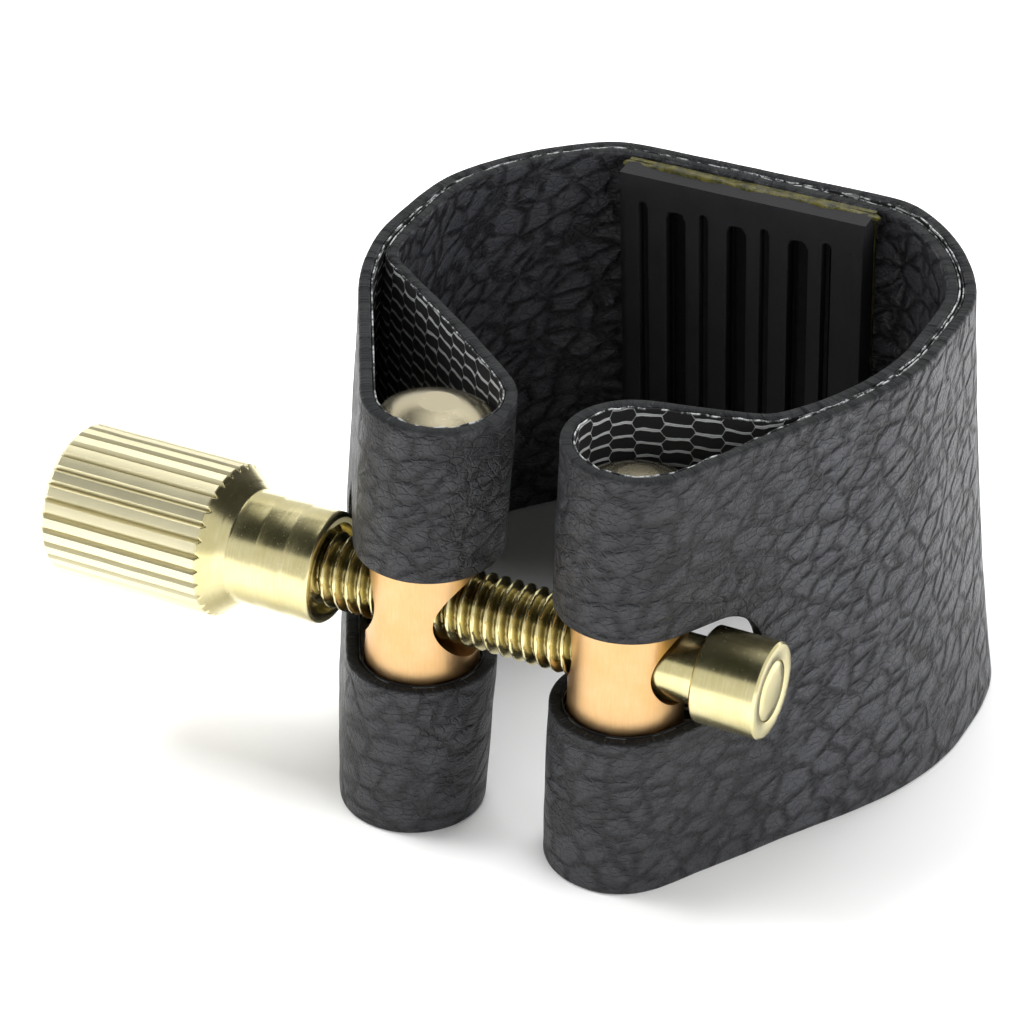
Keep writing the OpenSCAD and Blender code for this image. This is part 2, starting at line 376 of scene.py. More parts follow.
# Rows near an edge of the strip: their distances from it, at a cut edge and where there is none,
# and how far the face dips there as a share of the thickness. Then the rows through the thickness,
# as shares of it, the rows between the edges and the spacing of the columns. Where a slot is lower
# than twice SLOT_EASE, its edge blends into the unbroken face.
EDGE_STEPS = np.array([[0.02], [0.06], [0.15]]) * MM
PLAIN_STEPS = np.array([[0.0], [0.2], [0.4]]) * MM
EDGE_DIPS = np.array([[0.12], [0.035], [0.0]]) * MM / LEATHER_T
WALL_ROWS = np.array([[0.3], [0.7]])
SLOT_EASE = 0.3 * MM
LEATHER_ROWS = 38
LEATHER_STEP = 0.3 * MM
KNIT_ROWS = 12
KNIT_STEP = 0.45 * MM


def ring_r(z):
    """Outer radius of the ring at height z."""
    return RING_BOTTOM - TAPER * z


def ring_face(r, a):
    """Radius of the ring at angle a: round in front, and behind the smooth minimum of a larger
    circle, the upright sides and the flat back."""
    back = ((r + CORNER_BULGE) ** -BLEND_POWER + (np.abs(np.cos(a)) / r) ** BLEND_POWER
            + (np.abs(np.sin(a)) / (r - BACK_FLAT)) ** BLEND_POWER) ** (-1 / BLEND_POWER)
    return np.where(np.sin(a) <= 0, r, back)


def polar(r, a):
    """The point at radius r and angle a, as x and y."""
    return np.stack([r * np.cos(a), r * np.sin(a)], -1)


class Half:
    """One half of the sleeve: from the middle of the back round the outer layer, off it along the
    tangent it shares with the loop, round the loop, and back along the lining to the back."""

    def __init__(self, part_angle, shift, sway, slot_h, slot_span, step):
        self.part_angle, self.shift, self.sway, self.slot_h = part_angle, shift, sway, slot_h
        slot_share, lining_share = slot_span
        lengths = self.lengths()
        count = [max(LEAST_COLUMNS, int(length / step)) for length in lengths]
        self.spots = [np.linspace(0, 1, n + 1)[:-1] for n in count]
        self.spots[4] = np.linspace(0, 1, count[4] + 1)
        self.ends = (lengths[0] + slot_share * lengths[1],
                     sum(lengths[:3]) + lining_share * lengths[3])
        arrive = slot_h / 2 * (1 - np.cos(np.linspace(0, math.pi / 2, SLOT_END_COLUMNS)))
        self.spots[1] = self.finer(self.spots[1], slot_share, arrive / lengths[1])
        self.spots[3] = self.finer(self.spots[3], lining_share, -arrive / lengths[3])
        starts = np.cumsum([0, *lengths[:-1]])
        self.along = np.concatenate([start + spots * length for start, spots, length
                                     in zip(starts, self.spots, lengths)])

    @staticmethod
    def finer(spots, end, steps):
        """Columns crowded at a slot's end, where its round edge turns fastest."""
        low, high = sorted((end, end + steps[-1]))
        kept = spots[(spots < low - 0.01) | (spots > high + 0.01)]
        return np.sort(np.concatenate([kept, end + steps]))

    def corners(self, z, d):
        """At heights z and depth d: the radii of the outer layer, inner layer and loop, the loop's
        middle, the angles at which it is met and left, where the lining joins the ring, and how far
        that is from the loop's middle."""
        outer, inner, r = ring_r(z) - d, ring_r(z) - WALL_T + d, LOOP_R - d
        cx = BARREL_X - math.tan(self.sway) * (z - SCREW_Z)
        cy = SCREW_Y + self.shift - TAPER * (SCREW_Z - z)
        leave = np.arctan2(cy, cx) + np.arccos((outer - r) / np.hypot(cx, cy))
        qx, qy = inner * math.cos(self.part_angle), inner * math.sin(self.part_angle)
        reach = np.hypot(qx - cx, qy - cy)
        back = np.arctan2(qy - cy, qx - cx) + np.arccos(r / reach) - TAU
        return outer, inner, r, cx, cy, leave, back, qx, qy, reach

    def lengths(self):
        """Lengths of the five stretches at the screw's height."""
        outer, inner, r, cx, cy, leave, back, qx, qy, reach = self.corners(SCREW_Z, 0.0)
        flank = math.sqrt(cx ** 2 + cy ** 2 - (outer - r) ** 2)
        lining = math.sqrt(reach ** 2 - r ** 2)
        return [outer * (math.pi / 2 - leave), flank, r * (leave - back), lining,
                inner * (math.pi / 2 - self.part_angle)]

    def plan(self, z, d):
        """Points (rows, columns, 2) at heights z and depths d below the exposed side."""
        outer, inner, r, cx, cy, leave, back, qx, qy, _ = self.corners(z, d)
        a, b, c, e, f = self.spots
        centre = np.stack([cx, cy], -1)
        first = math.pi / 2 + (leave - math.pi / 2) * a
        p0, p1 = polar(outer, leave), centre + polar(r, leave)
        p2, p3 = centre + polar(r, back), np.stack([qx, qy], -1)
        last = self.part_angle + (math.pi / 2 - self.part_angle) * f + 0 * inner
        return np.concatenate([
            polar(ring_face(outer, first), first),
            p0 + (p1 - p0) * b[:, None],
            centre + polar(r, leave + (back - leave) * c),
            p2 + (p3 - p2) * e[:, None],
            polar(ring_face(inner, last), last)], 1)

    def slot(self):
        """Half the slot's height at each column: a bar with round ends."""
        inside = np.minimum(self.along - self.ends[0], self.ends[1] - self.along)
        share = np.clip(inside / (self.slot_h / 2), 0, 1)
        return self.slot_h / 2 * np.sqrt(1 - (1 - share) ** 2)


class Sleeve:
    """The closed path of the sleeve, starting under the pad: the left half backwards, then the right,
    with its corners softened by a bell-shaped average along it."""

    def __init__(self, step):
        self.left = Half(PART_LEFT, LEFT_SHIFT, LEFT_SWAY, LEFT_SLOT_H, LEFT_SLOT_SPAN, step)
        self.right = Half(PART_RIGHT, 0.0, 0.0, SLOT_H, SLOT_SPAN, step)
        left_end = self.left.along[-1]
        self.along = np.concatenate([left_end - self.left.along[::-1],
                                     left_end + self.right.along[1:-1]])
        self.length = left_end + self.right.along[-1]
        self.slot = np.concatenate([self.left.slot()[::-1], self.right.slot()[1:-1]])
        gap = np.abs(self.along[:, None] - self.along[None, :])
        gap = np.minimum(gap, self.length - gap)
        width = (np.roll(self.along, -1) - np.roll(self.along, 1)) % self.length / 2
        weight = np.exp(-0.5 * (gap / SOFT_REACH) ** 2) * width[None, :]
        self.soften = weight / weight.sum(1, keepdims=True)

    def plan(self, z, d):
        """Points (rows, columns, 2) of the whole path at heights z and depths d."""
        left = self.left.plan(z, d)[:, ::-1] * np.array([-1, 1])
        sharp = np.concatenate([left, self.right.plan(z, d)[:, 1:-1]], 1)
        return np.einsum("ij,rjk->rik", self.soften, sharp)

    def loop_share(self):
        """1 on the loops and their flanks, 0 on the ring, with a smooth step between."""
        share = 0
        for half, place in ((self.left, self.left.along[-1] - self.along),
                            (self.right, self.along - self.left.along[-1])):
            inside = np.minimum(place - half.ends[0], half.ends[1] - place) / LOOP_FADE + 1
            share = share + np.clip(inside, 0, 1)
        return np.clip(share, 0, 1)


def strip(name, sleeve, d_out, d_in, inset, rows, finish, rim, relief=None):
    """A strip of the sleeve: its exposed face at depth d_out and its hidden face at d_in, joined by
    rounded edges. It is two bands, below and above the slots' middle line, which close onto each
    other where there is no slot. rim(along) lifts the top edge, relief(along, z) the exposed face."""
    along, half = sleeve.along[None, :], sleeve.slot[None, :]
    columns = along.size
    open_share = np.clip(half / SLOT_EASE, 0, 1)
    edge_dips = EDGE_DIPS * (d_in - d_out)
    wall = WALL_ROWS * (d_in - d_out)
    top = BAND_H - inset + rim(along)
    parts, uvs, cuts, faces, count = [], [], [], [], 0
    for upper in (False, True):
        free, split = (top, SCREW_Z + half) if upper else (inset + 0 * along, SCREW_Z - half)
        inward = -1 if upper else 1
        near = free + inward * EDGE_STEPS
        far = split - inward * (open_share * EDGE_STEPS + (1 - open_share) * PLAIN_STEPS)
        share = np.linspace(0, 1, rows + 2)[1:-1, None]
        z = np.concatenate([near, near[-1:] + (far[-1:] - near[-1:]) * share, far[::-1]])

        # A section runs along the n rows of the face to the slot, through its edge, back along the
        # hidden side and out through the free edge. cut is 1 on cut edges.
        n = len(z)
        dip = np.zeros_like(z)
        dip[:3] = edge_dips
        dip[-3:] = edge_dips[::-1] * open_share
        edge = np.zeros_like(z)
        edge[0], edge[1], edge[-1], edge[-2] = 1, 0.5, open_share, 0.5 * open_share
        behind = np.r_[n - 1, n - 2, n - 3:2:-6, 2, 1, 0]
        z_loop = np.concatenate([z, split + 0 * wall, z[behind], free + 0 * wall])
        d_loop = np.concatenate([d_out + dip, d_out + wall + 0 * along, d_in - dip[behind],
                                 d_in - wall + 0 * along])
        cut = np.concatenate([edge, open_share + 0 * wall, edge[behind], 1 + 0 * wall + 0 * along])
        lift = np.zeros_like(z_loop)
        if relief is not None:
            lift[:n] = relief(along + 0 * z, z)

        # The plan at each row's mean height and depth, then moved up the taper and out along the
        # path's normal to each point's own.
        z_mean, d_mean = z_loop.mean(1, keepdims=True), d_loop.mean(1, keepdims=True)
        plan = sleeve.plan(z_mean, d_mean)
        plan = plan + (sleeve.plan(z_mean + MM, d_mean) - plan) * ((z_loop - z_mean) / MM)[..., None]
        ahead = np.roll(plan, -1, 1) - np.roll(plan, 1, 1)
        outward = np.stack([-ahead[..., 1], ahead[..., 0]], -1)
        outward /= np.linalg.norm(outward, axis=-1, keepdims=True)
        plan = plan + outward * (lift + d_mean - d_loop)[..., None]

        parts.append(np.concatenate([plan, z_loop[..., None]], -1).reshape(-1, 3))
        uvs.append(np.stack([along + 0 * z_loop, z_loop], -1).reshape(-1, 2))
        cuts.append(cut.ravel())
        quads = grid_faces(*z_loop.shape, wrap_rows=True, wrap_columns=True)
        row, column = quads[:, 0] // columns, quads[:, 0] % columns
        slotted = np.maximum(sleeve.slot, np.roll(sleeve.slot, -1))[column] > 0
        quads = quads[slotted | (row < n - 1) | (row > n + 1)]
        faces.append((quads if upper else quads[:, ::-1]) + count)
        count += z_loop.size

    # The map goes on past the seam under the pad instead of turning back.
    faces, uvs = np.concatenate(faces), np.concatenate(uvs)
    made = piece(name, np.concatenate(parts), faces, finish)
    corner = uvs[faces]
    behind_seam = corner[..., 0].max(1, keepdims=True) - corner[..., 0] > sleeve.length / 2
    corner[..., 0] += behind_seam * sleeve.length
    made.data.uv_layers.new(name="strip").data.foreach_set("uv", corner.ravel().astype(np.float32))
    loop = np.tile(sleeve.loop_share(), count // columns)
    for attribute, values in (("cut", np.concatenate(cuts)), ("loop", loop)):
        layer = made.data.attributes.new(attribute, "FLOAT", "POINT")
        layer.data.foreach_set("value", values.astype(np.float32))
    weld(made, BAND_WELD)
    return made


# ---- Finishes ----------------------------------------------------
# Colours are linear, and a finish's lengths are in millimetres: the length of the net's stitches,
# the spacing and swing of its rows, and how far from the screw's height the barrels' pale ends start
# and are full.
LEATHER_CREASE_SHADE = (0.004, 0.004, 0.005)
LEATHER_CREST_HIGHLIGHT = (0.036, 0.037, 0.042)
LEATHER_EDGE = (0.008, 0.009, 0.010)
LEATHER_FIBRE = (0.16, 0.17, 0.17)
LEATHER_SLANT = math.radians(24)
PEBBLE_SCALE = 0.84
KNIT_GROUND = (0.008, 0.008, 0.009)
KNIT_YARN = (0.50, 0.52, 0.52)
NET_LENGTH = 3.0
NET_PITCH = 0.37
NET_SWING = 0.40 * NET_PITCH
RUBBER_DARK = (0.010, 0.010, 0.011)
RUBBER_PALE = (0.024, 0.024, 0.026)
RUBBER_GROOVE_SHADE = (0.0012, 0.0012, 0.0013)
CEMENT_DARK = (0.013, 0.015, 0.003)
CEMENT_PALE = (0.12, 0.105, 0.012)
BARREL_PALE = (0.72, 0.48, 0.25)
BARREL_DEEP = (0.63, 0.38, 0.16)
BARREL_DOME = (0.64, 0.57, 0.39)
PALE_FROM = 8.3
PALE_FULL = 8.9
SCREW_PALE = (0.84, 0.76, 0.45)
SCREW_DEEP = (0.68, 0.60, 0.29)
SCREW_GRIP = (0.84, 0.78, 0.53)
BRASS_GROOVE_DARK = (0.24, 0.19, 0.07)


def leather_finish():
    """Black grained leather: pebbles parted by creases that run along the strip, smoother where it
    is bent round the loops, with darker rough cut edges. The base colour paints shade into the
    creases and a highlight onto the pebbles' crests."""
    f = Finish("leather", Specular_IOR_Level=0.38)
    cut, loop = f.attribute("cut"), f.attribute("loop")
    slant = (0, 0, LEATHER_SLANT)
    wandering = f.shifted(f.laid(scale=(0.7, 1.0, 1.0), turn=slant), 0.55, 0.7)
    depth = f.noise(f.laid(), 0.7, 2, 0.5).step(0.34, 0.56) * 0.5 + 0.5
    pebble = 1 - (1 - f.cells(wandering, PEBBLE_SCALE, "DISTANCE_TO_EDGE").step(0.0, 0.23)) * depth
    patch = f.cells(wandering, PEBBLE_SCALE, out="Color")
    small = f.cells(f.shifted(f.laid(scale=(0.8, 1.2, 1)), 0.4, 1.3), 2.1,
                    "DISTANCE_TO_EDGE").step(0.0, 0.14)
    long_crease = f.noise(f.laid(scale=(0.22, 0.9, 1), turn=slant), 1.0, 2, 0.5, 0.6)
    long_crease = abs(long_crease - 0.5).step(0.0, 0.05)
    pores = f.noise(f.laid(), 6.0, 3, 0.6)
    swell = f.noise(f.laid(), 0.35, 2)
    grain = (1 - loop) * 0.5 + 0.5
    fine = small * (loop * 0.12 + 0.14) + long_crease * 0.06
    height = grain * (pebble * 0.75 + fine) + pores * (loop * 0.26 + 0.08)
    tone = (pebble * 0.68 + long_crease * 0.05 + small * 0.12) * grain + pores * (loop * 0.35 + 0.15)
    tone = tone + swell * 0.2 + patch * 0.10 - 0.03 - loop * 0.14
    # The skin's colour paints shade into the creases and a highlight onto the pebbles' crests.
    skin_and_shade_colour = f.blend(tone.step(0.1, 1.05), LEATHER_CREASE_SHADE, LEATHER_CREST_HIGHLIGHT)
    fibre = f.noise(f.laid(scale=(1, 3, 1)), 6.0, 3, 0.7).step(0.58, 0.8)
    edge_colour = f.blend(fibre, LEATHER_EDGE, LEATHER_FIBRE)
    f.set("Base Color", f.blend(cut.step(0.55, 0.95), skin_and_shade_colour, edge_colour))
    f.set("Roughness", 0.52 - pebble * 0.12 - swell * 0.1 + pores * 0.12 + cut * 0.3)
    f.set("Normal", f.bump(height + fibre * cut, 0.30 * MM))
    return f.material


def knit_finish():
    """Black lining under a pale knitted net: two families of waves, each touching the next, with
    loose ends along the top edge."""
    f = Finish("knit_backing", Roughness=0.8)
    flat = f.laid()
    u, v, _ = f.split(f.shifted(flat, 0.6, 0.55))
    turn = u.math("COSINE", u * (TAU / NET_LENGTH))
    turn = (turn * 5.0).least(1.0).most(-1.0)
    wave = turn * NET_SWING
    lines = None
    for start, sign in ((0.0, 1.0), (NET_PITCH, -1.0)):
        row = (v - wave * sign - start) / (2 * NET_PITCH) + 0.5
        away = abs(row.math("FRACT", row) - 0.5) * (2 * NET_PITCH)
        lines = away if lines is None else lines.least(away)
    yarn = lines.step(0.02, 0.065, 1.0, 0.0) * (1 - f.attribute("cut").step(0.1, 0.6))
    yarn = yarn * (abs(turn) * 0.55 + 0.45)
    twist = f.noise(flat, 14.0, 3, 0.7)
    top = v.step(BAND_H / MM - 1.2, BAND_H / MM - 0.6)
    ragged = f.attribute("cut").step(0.3, 0.9) * f.noise(flat, 1.5, 5, 0.7).step(0.45, 0.6) * top
    show = (yarn * (0.55 + twist * 0.6)).most(ragged)
    f.set("Base Color", f.blend(show, KNIT_GROUND, KNIT_YARN))
    f.set("Normal", f.bump(yarn + twist * 0.3, 0.08 * MM))
    return f.material


def rubber_finish():
    """Moulded black rubber: satin, with faint mould marks and dust, and painted shade in the grooves.
    """
    f = Finish("pad_rubber", Specular_IOR_Level=0.16)
    spot = f.place()
    cloud, dust = f.noise(spot, 0.6, 3), f.noise(spot, 7.0, 4, 0.7)
    skin = f.blend(cloud * 0.6 + dust * 0.4, RUBBER_DARK, RUBBER_PALE)
    # Painted shade darkens the grooves, by their depth.
    f.set("Base Color", f.blend(f.attribute("deep"), skin, RUBBER_GROOVE_SHADE))
    f.set("Roughness", 0.42 + cloud * 0.2 + dust * 0.1)
    f.set("Normal", f.bump(dust + f.noise(f.place(scale=(1, 1, 0.12)), 5.0) * 0.8, 0.02 * MM))
    return f.material


def cement_finish():
    """Cured contact cement: olive amber, glossy and lumpy."""
    f = Finish("pad_cement", Coat_Weight=0.15, Coat_Roughness=0.2, Specular_IOR_Level=0.3)
    spot = f.place()
    lump, speck = f.noise(spot, 1.6, 4, 0.6), f.noise(spot, 9.0, 3)
    tone = (lump * 0.7 + speck * 0.4).step(0.35, 0.8)
    f.set("Base Color", f.blend(tone, CEMENT_DARK, CEMENT_PALE))
    f.set("Roughness", 0.3 + speck * 0.25)
    f.set("Normal", f.bump(lump + speck * 0.3, 0.12 * MM))
    return f.material


def brass_finish(name, pale, deep, brush_scale, brush_depth, rough, polished):
    """Bare brass: brush marks of the given direction, faint tarnish, fine scratches, and a darker
    brown in deep grooves. polished gives the share of paler metal, its colour and how much rougher it
    is."""
    f = Finish(name, Metallic=1.0)
    share, bright, rubbed = polished(f)
    spot = f.place()
    brush = f.noise(f.place(scale=brush_scale), 1.0, 5, 0.65)
    cloud = f.noise(spot, 0.5, 4, 0.6)
    speck = f.noise(spot, 5.0, 4, 0.7).step(0.62, 0.8)
    plain = f.blend((cloud * 0.6 + brush * 0.4).step(0.3, 0.75), deep, pale)
    # Darker brown in deep grooves, less of it on the paler part.
    groove_dark = f.attribute("deep").step(0.1, 1.0) * (0.8 - share * 0.3)
    f.set("Base Color", f.blend(groove_dark, f.blend(share, plain, bright), BRASS_GROOVE_DARK))
    f.set("Roughness", brush * 0.12 + cloud * 0.1 + speck * 0.2 + share * rubbed + rough)
    f.set("Normal", f.bump(brush + speck * 0.4, brush_depth))
    return f.material


def on_domes(f):
    """Paler, smoother metal on the barrels: all of it near their ends."""
    height = f.split(f.place())[2] - SCREW_Z / MM
    return abs(height).step(PALE_FROM, PALE_FULL), BARREL_DOME, -0.16


def on_grip(f):
    """Paler, rougher metal on the screw: all of it on the fluted grip."""
    along = f.split(f.place())[0]
    grip_end = (knob_low[0] + KNOB_LEN) / MM
    return along.step(grip_end - 0.1, grip_end + 0.1, 1.0, 0.0), SCREW_GRIP, 0.26


leather = leather_finish()
knit = knit_finish()
rubber = rubber_finish()
cement = cement_finish()
brushed_barrel = brass_finish("barrel_brass", BARREL_PALE, BARREL_DEEP,
                              (14, 14, 0.35), 0.007 * MM, 0.25, on_domes)
turned_brass = brass_finish("screw_brass", SCREW_PALE, SCREW_DEEP,
                            (9, 0.4, 0.4), 0.004 * MM, 0.12, on_grip)


# ---- Leather sleeve and knitted backing --------------------------
# Two bulges of the finished strip, at its lower and at its upper edge: how far each goes, the middle
# and width of its bell in degrees round the axis, and the power with which it fades up or down.
# Then how far the knit stops short of the leather's edges and stands clear of it, and the knit's
# height.
LOW_FLARE = (1.0 * MM, 8, 30, 2.5)
HIGH_FLARE = (0.15 * MM, 42, 14, 2)
KNIT_INSET = 0.06 * MM
KNIT_CLEAR = 0.02 * MM
KNIT_H = BAND_H - 2 * KNIT_INSET


def wrinkles(along, z):
    """Broad unevenness of the leather: three layers of noise, longer along the strip than up it."""
    broad = value_noise(along / 1.6, z, 4.2 * MM, 3) * 0.05 * MM
    middle = value_noise(along / 1.5, z, 1.7 * MM, 8) * 0.022 * MM
    fine = value_noise(along / 1.3, z, 0.8 * MM, 21) * 0.012 * MM
    return broad + middle + fine


def flared(made):
    """Moves a finished strip outwards from the axis, by LOW_FLARE at the lower edge of the right side
    and by HIGH_FLARE at the upper edge of the right back corner."""
    points = np.empty(len(made.data.vertices) * 3, np.float32)
    made.data.vertices.foreach_get("co", points)
    points = points.reshape(-1, 3)
    angle = np.degrees(np.arctan2(points[:, 1], points[:, 0]))
    height = np.clip(points[:, 2] / BAND_H, 0, 1)
    move = 0
    for (reach, middle, width, power), share in ((LOW_FLARE, 1 - height), (HIGH_FLARE, height)):
        move = move + reach * np.exp(-((angle - middle) / width) ** 2) * share ** power
    points[:, :2] *= (1 + move / np.linalg.norm(points[:, :2], axis=1))[:, None]
    made.data.vertices.foreach_set("co", points.ravel())
    made.data.update()


def top_rim(along):
    """The top edge as cut by hand: it wanders a little."""
    return value_noise(along, 0 * along, 9 * MM, 5) * 0.12 * MM


def ragged_rim(along):
    """The knit's top edge, frayed along the same cut."""
    return top_rim(along) + value_noise(along, 0 * along, 0.35 * MM, 6) * 0.07 * MM


sleeve = Sleeve(LEATHER_STEP)
leather_strip = strip("leather_strip", sleeve, 0.0, LEATHER_T, 0.0, LEATHER_ROWS, leather,
                      top_rim, wrinkles)
knit_strip = strip("knit_strip", Sleeve(KNIT_STEP), LEATHER_T + KNIT_CLEAR, LEATHER_T + BACKING_T,
                   KNIT_INSET, KNIT_ROWS, knit, ragged_rim)
for made, side_nodes, slot in (
        (leather_strip, ("leather_wrap_right", "leather_wrap_left"), "leather"),
        (knit_strip, ("mesh_backing_right", "mesh_backing_left"), "knit_backing")):
    flared(made)
    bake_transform(made)
    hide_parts(*side_nodes)

SLOT_AREA = sum((half.ends[1] - half.ends[0]) * half.slot_h for half in (sleeve.left, sleeve.right))
BAND_H * sleeve.length - SLOT_AREA
KNIT_H * sleeve.length - SLOT_AREA


# ---- Reed pad and its cement -------------------------------------
PAD_W = pad_high[0] - pad_low[0]
PAD_CLEAR = 0.1 * MM
PAD_H = BAND_H - 2 * PAD_CLEAR
PAD_WEB = 0.8 * MM
PAD_EDGE_R = 0.18 * MM
PAD_EDGE_DROP = 0.14 * MM
SECOND_RIB_DROP = 0.09 * MM
PAD_BORDER = 1.8 * MM
GLUE_T = 0.3 * MM
WALL_CLEAR = 0.05 * MM

# The ribs stand in pairs: each pair has a narrow groove within it and a wide one after it.
RIB_H = 0.7 * MM
RIB_PAIRS = 4
NARROW_W = 0.42 * MM
NARROW_DEPTH = 0.62 * RIB_H
NARROW_LONGER = 0.25 * MM
WIDE_W = 1.1 * MM
GROOVE_EASE = 0.06 * MM

# The cement's bead: how far it passes the pad, its radius, and its place in front of the wall.
BEAD_PAST = 0.35 * MM
BEAD_R = 0.24 * MM
BEAD_DEPTH = 0.42 * MM
BEAD_SIDES = 14


def on_back_wall(x, depth, height):
    """Points on the leaning back wall: depth in front of its inner face, height up its slope."""
    y = -depth * math.cos(LEAN) - height * math.sin(LEAN)
    z = height * math.cos(LEAN) - depth * math.sin(LEAN)
    return np.stack([x, y + RING_BOTTOM - WALL_T - BACK_FLAT - WALL_CLEAR, z], -1)


def crowded(edges, low, high, step):
    """Places from low to high, a step apart, with a close cluster at each edge."""
    cluster = np.array([-0.09, -0.05, -0.02, 0.02, 0.05, 0.09]) * MM
    near = (np.asarray(edges)[:, None] + cluster).ravel()
    plain = np.arange(low, high, step)
    far = np.abs(plain[:, None] - near[None, :]).min(1) > 0.06 * MM
    inside = (near > low) & (near < high)
    return np.unique(np.concatenate([[low, high], plain[far], near[inside]]))


def reed_pad():
    """A slab whose front is web plus rib height, less each groove: a long slot with round ends, cut
    to its own depth where the distance to its middle line is less than half its width. The second rib
    of each pair is a little lower, and the front rounds off at the slab's edge."""
    pitch = PAD_W / RIB_PAIRS
    grooves = []
    for i in range(RIB_PAIRS):
        start = -PAD_W / 2 + i * pitch
        grooves.append((start + 0.40 * pitch, NARROW_W, NARROW_DEPTH, NARROW_LONGER))
        if i < RIB_PAIRS - 1:
            grooves.append((start + 0.94 * pitch, WIDE_W, RIB_H, 0.0))
    edges = [c + side * w / 2 for c, w, _, _ in grooves for side in (-1, 1)]
    x = crowded(edges, -PAD_W / 2 + 0.02 * MM, PAD_W / 2 - 0.02 * MM, 0.22 * MM)
    ends = np.arange(PAD_BORDER - 0.3 * MM, PAD_BORDER + 0.9 * MM, 0.06 * MM)
    z = np.unique(np.concatenate([np.linspace(0.03 * MM, PAD_H - 0.03 * MM, 50), ends, PAD_H - ends]))
    grid_x, grid_z = np.meshgrid(x, z)
    groove = 0 * grid_x
    for centre, width, depth, longer in grooves:
        low = PAD_BORDER + width / 2 - longer
        over = np.maximum(np.maximum(low - grid_z, grid_z - (PAD_H - low)), 0)
        inside = (width / 2 - np.hypot(grid_x - centre, over)) / GROOVE_EASE
        share = np.clip(inside * 0.5 + 0.5, 0, 1)
        groove = groove + depth * share * share * (3 - 2 * share)
    second = np.abs(((grid_x + PAD_W / 2) / pitch) % 1 - 0.62) < 0.2
    lower = second & (grid_z > PAD_BORDER) & (grid_z < PAD_H - PAD_BORDER)
    front = PAD_WEB + RIB_H - groove - lower * SECOND_RIB_DROP
    front = front + value_noise(grid_x, grid_z, 1.6 * MM, 12) * 0.012 * MM
    rim_x = np.minimum(grid_x - x[0], x[-1] - grid_x)
    rim_z = np.minimum(grid_z - z[0], z[-1] - grid_z)
    rim = np.clip(np.minimum(rim_x, rim_z) / PAD_EDGE_R, 0, 1)
    front = front - PAD_EDGE_DROP * (1 - np.sqrt(1 - (1 - rim) ** 2))
    made = slab("ribbed_reed_pad", on_back_wall(grid_x, GLUE_T + front, PAD_CLEAR + grid_z),
                on_back_wall(grid_x, GLUE_T + 0 * front, PAD_CLEAR + grid_z), rubber)
    # Groove depth, which the rubber's finish turns into painted shade.
    sunk(made, np.concatenate([groove, 0 * groove]) / (0.6 * RIB_H))
    return made


def cement_bed():
    """The cement under the pad: a thin bed with a squeezed-out bead along the top edge, whose radius
    and height wander with noise."""
    reach = PAD_W / 2 + BEAD_PAST
    x = np.linspace(-reach, reach, 180)[:, None]
    angle = np.linspace(0, TAU, BEAD_SIDES, endpoint=False)[None, :]
    ends = np.clip((reach - np.abs(x)) / (0.5 * MM), 0, 1) ** 0.5
    radius = (BEAD_R + value_noise(x, 0 * x, 1.1 * MM, 31) * 0.08 * MM) * ends + 0.004 * MM
    lump = 1 + 0.22 * value_noise(x / MM, angle * 1.4, 0.5, 33)
    rise = PAD_CLEAR + PAD_H - 0.12 * MM + value_noise(x, 0 * x, 2.3 * MM, 35) * 0.08 * MM
    bead = on_back_wall(x + 0 * angle, BEAD_DEPTH + 1.5 * radius * lump * np.cos(angle),
                        rise + 0.75 * radius * lump * np.sin(angle))
    first = np.arange(BEAD_SIDES)
    faces = list(grid_faces(len(x), BEAD_SIDES, wrap_columns=True)[:, ::-1])
    faces += [first, (len(x) - 1) * BEAD_SIDES + first[::-1]]
    roll = piece("cement_bead", bead, faces, cement)
    grid_x, grid_z = np.meshgrid(np.linspace(-PAD_W / 2, PAD_W / 2, 40), np.linspace(0, PAD_H, 60))
    spread = value_noise(grid_x, grid_z, 0.9 * MM, 37) * 0.03 * MM
    bed = slab("cement_bed", on_back_wall(grid_x, GLUE_T - 0.04 * MM + spread, PAD_CLEAR + grid_z),
               on_back_wall(grid_x, 0 * spread, PAD_CLEAR + grid_z), cement)
    return bed, roll


pad = reed_pad()
bed, bead = cement_bed()
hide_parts("reed_pad")
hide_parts("pad_adhesive")
for made, slot in ((pad, "pad_rubber"), (bed, "pad_cement"), (bead, "pad_cement")):
    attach(made, "ring")


# ---- Brass -------------------------------------------------------
DOME_H = 0.9 * MM
DOME_R = (BARREL_R ** 2 + DOME_H ** 2) / (2 * DOME_H)
DOME_EDGE = 0.06 * MM
SPOT_R = 1.0 * MM


def barrel(name, x, shift, rise, sway, hole_r):
    """A domed cylinder: each end is a sphere's cap with a flat polished spot, then drilled across."""
    r = np.linspace(SPOT_R, BARREL_R - DOME_EDGE, 26)
    dome = BARREL_HALF + DOME_H - DOME_R + np.sqrt(DOME_R ** 2 - r ** 2)
    spot = [(dome[0] - 0.004 * MM, 0.05 * MM), (dome[0], SPOT_R - 0.03 * MM)]
    end = spot + list(zip(dome, r))
    straight = BARREL_HALF - DOME_EDGE
    sides = [(z, BARREL_R) for z in np.linspace(-straight, straight, 40)]
    profile = [(-z, radius) for z, radius in end] + sides + end[::-1]
    profile = [(z + rise, radius) for z, radius in profile]
    centre = (x, SCREW_Y + shift, SCREW_Z)
    made = turned(name, profile, centre, brushed_barrel, 160, "z", smooth_angle=60,
                  tilt=LEAN, sway=sway)
    return drilled(made, centre, hole_r, brushed_barrel)


